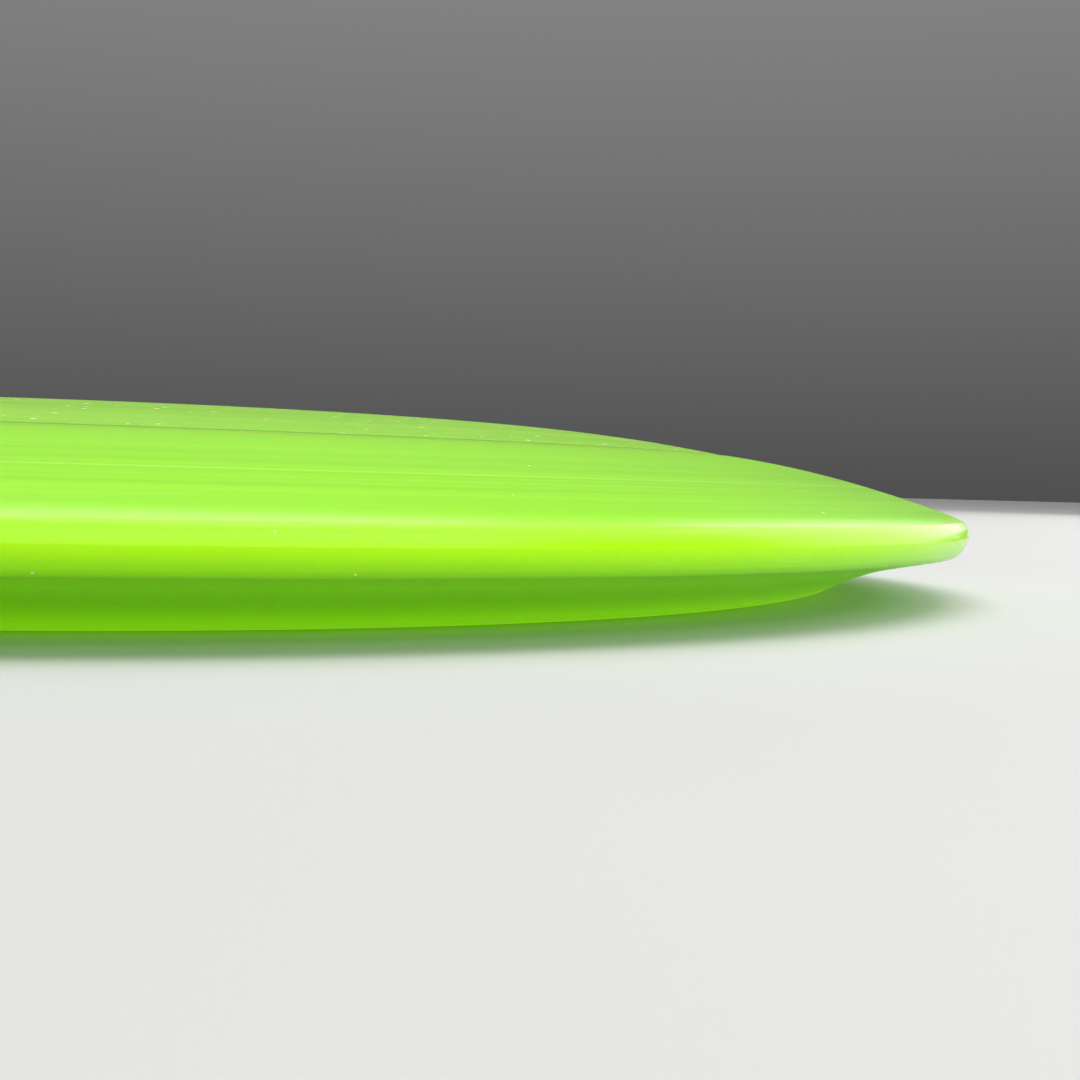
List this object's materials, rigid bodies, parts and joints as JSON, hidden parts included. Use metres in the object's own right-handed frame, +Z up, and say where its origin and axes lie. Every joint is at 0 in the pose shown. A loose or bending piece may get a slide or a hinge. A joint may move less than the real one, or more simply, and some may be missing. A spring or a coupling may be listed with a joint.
{
  "type": "flying disc",
  "caption": "Disc-golf distance driver: a round throwing disc with a wide tapered wing, a narrow nose, a low domed flight plate and an open underside with an inner rim for the fingers.",
  "frame": {"origin": "on the disc's axis, in the plane of the rest face under the rim", "axes": "+Z up along the disc's axis, towards the top of the flight plate; X and Y lie in the rest plane"},
  "size_m": [0.211, 0.211, 0.0187],
  "materials": {
    "rim_plastic": "glossy, slightly translucent lime-green elastomer with fine turned tooling lines",
    "plate_plastic": "the same lime-green elastomer, a little duller and dusty",
    "stamp_foil": "bright hot-stamped metallised foil"
  },
  "bodies": {
    "root": {"rim": "rim_plastic", "flight_plate": "plate_plastic", "foil_border_ring": "stamp_foil", "foil_hub_ring": "stamp_foil", "foil_rays": "stamp_foil"}
  },
  "joints": []
}
